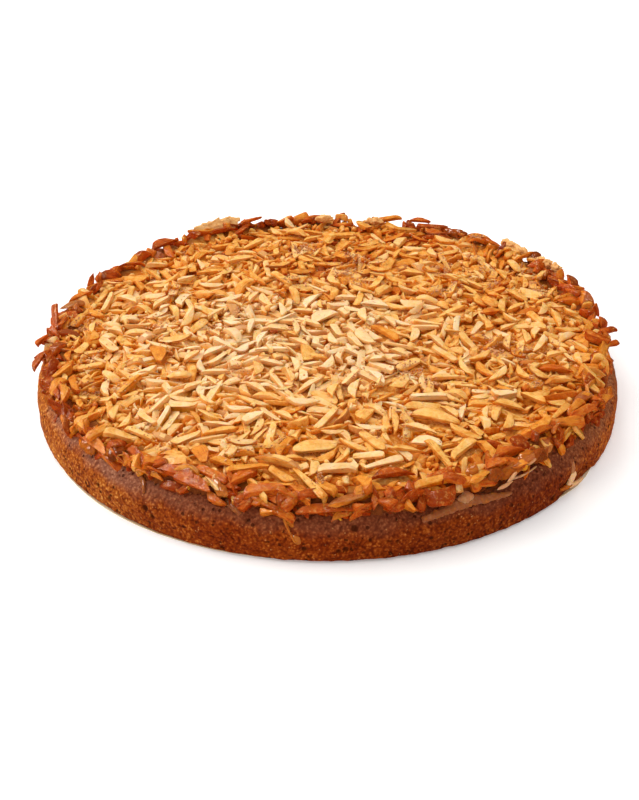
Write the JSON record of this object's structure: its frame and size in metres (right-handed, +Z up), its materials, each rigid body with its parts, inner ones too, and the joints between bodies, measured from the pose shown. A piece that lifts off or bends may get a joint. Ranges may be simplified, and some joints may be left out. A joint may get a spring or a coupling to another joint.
{
  "type": "almond tart",
  "caption": "Round flat tart: a baked cake base with a rounded edge under a thick layer of caramelised slivered almonds, on a thin sheet of baking paper.",
  "frame": {"origin": "middle of the underside, on the surface the tart rests on", "axes": "+Z up through the tart, -Y towards the camera"},
  "size_m": [0.2598, 0.2602, 0.0332],
  "materials": {
    "baked_cake": "matt, porous, browned",
    "caramel_almonds": "satin, sticky in places",
    "baking_paper": "thin, greaseproof"
  },
  "bodies": {
    "root": {"cake_base": "baked_cake", "almond_topping": "caramel_almonds", "baking_paper": "baking_paper"}
  },
  "joints": []
}
